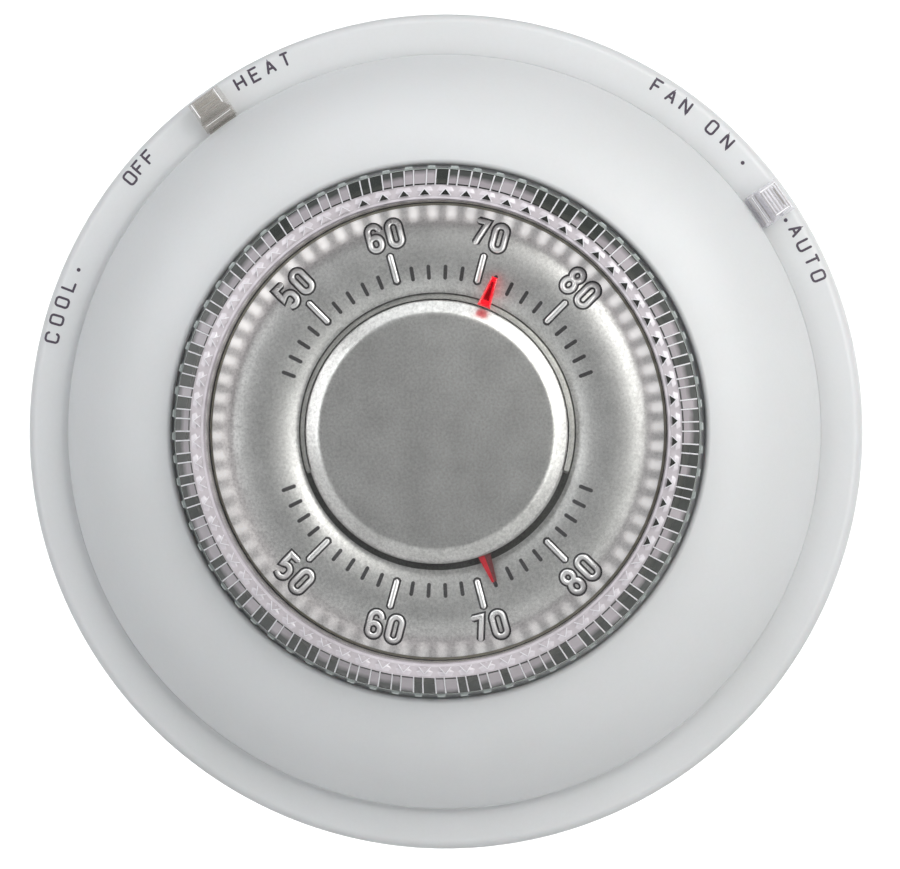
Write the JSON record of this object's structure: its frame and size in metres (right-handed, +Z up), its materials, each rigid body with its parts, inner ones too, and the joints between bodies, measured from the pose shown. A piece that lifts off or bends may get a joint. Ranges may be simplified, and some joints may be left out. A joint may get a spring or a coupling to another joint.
{
  "type": "wall thermostat",
  "caption": "Round heat and cool wall thermostat: domed lift-off cover, clear knurled setting dial, scales with red pointers, and clear switch levers on the rim.",
  "frame": {"origin": "centre of the back face of the wallplate, on the dial's axis, midway between the two round wall screw holes", "axes": "-Y out of the wall towards the room, +Z up, +X to the right as seen from the room"},
  "size_m": [0.114, 0.0365, 0.114],
  "materials": {
    "white_plastic": "satin",
    "grey_plastic": "satin",
    "clear_plastic": "polished",
    "red_translucent": "polished",
    "red_paint": "satin",
    "satin_metal": "satin",
    "dark_plastic": "satin",
    "ivory_plastic": "satin",
    "board": "satin",
    "brass": "satin",
    "plated_steel": "satin",
    "relay_plastic": "gloss",
    "component_black": "satin",
    "component_blue": "satin"
  },
  "bodies": {
    "base": {"wallplate": "grey_plastic", "bezel": "white_plastic", "system_switch_board": "board", "fan_switch_board": "board", "system_contact_pads": "brass", "fan_contact_pads": "brass", "terminal_plates": "brass", "terminal_screws": "plated_steel", "threaded_inserts": "brass", "chassis": "dark_plastic", "module_screws": "plated_steel", "circuit_board": "board", "board_screws": "plated_steel", "contact_blades": "brass", "heating_relay": "relay_plastic", "cooling_relay": "relay_plastic", "fan_relay": "relay_plastic", "capacitors": "component_black", "controller_chip": "dark_plastic", "resistors": "component_black", "room_sensor": "component_black", "cover_springs": "plated_steel", "position_sensor": "component_blue", "dial_support": "ivory_plastic", "support_screws": "plated_steel", "dial_plate": "satin_metal", "centre_cap": "satin_metal", "centre_post": "brass", "cap_retainer": "ivory_plastic", "bimetal_coil": "brass"},
    "setting_dial": {"clear_ring": "clear_plastic", "dial_window": "clear_plastic", "set_pointer": "red_translucent", "drive_collar": "dark_plastic", "drive_bar": "plated_steel", "bar_screws": "plated_steel", "tension_washer": "plated_steel", "sensor_rotor": "dark_plastic"},
    "thermometer_needle": {"needle_hub": "brass", "room_needle": "red_paint"},
    "system_switch": {"system_lever": "clear_plastic", "system_slider": "dark_plastic", "system_wiper": "brass"},
    "fan_switch": {"fan_lever": "clear_plastic", "fan_slider": "dark_plastic", "fan_wiper": "brass"},
    "lift_off_cover": {"cover": "white_plastic"}
  },
  "joints": [
    {"name": "setting_dial_turn", "type": "hinge", "parent": "base", "child": "setting_dial", "pos_m": [0, 0, 0], "axis": [0, -1, 0], "range_deg": [-48, 90]},
    {"name": "room_needle_turn", "type": "hinge", "parent": "base", "child": "thermometer_needle", "pos_m": [0, 0, 0], "axis": [0, -1, 0], "range_deg": [-90, 48], "stiffness_Nm_per_rad": 0.0005},
    {"name": "system_lever_slide", "type": "hinge", "parent": "base", "child": "system_switch", "pos_m": [0, 0, 0], "axis": [0, -1, 0], "range_deg": [0, 27]},
    {"name": "fan_lever_slide", "type": "hinge", "parent": "base", "child": "fan_switch", "pos_m": [0, 0, 0], "axis": [0, -1, 0], "range_deg": [0, 6]},
    {"name": "cover_pull", "type": "slide", "parent": "base", "child": "lift_off_cover", "axis": [0, -1, 0], "range_m": [0, 0.04]}
  ]
}
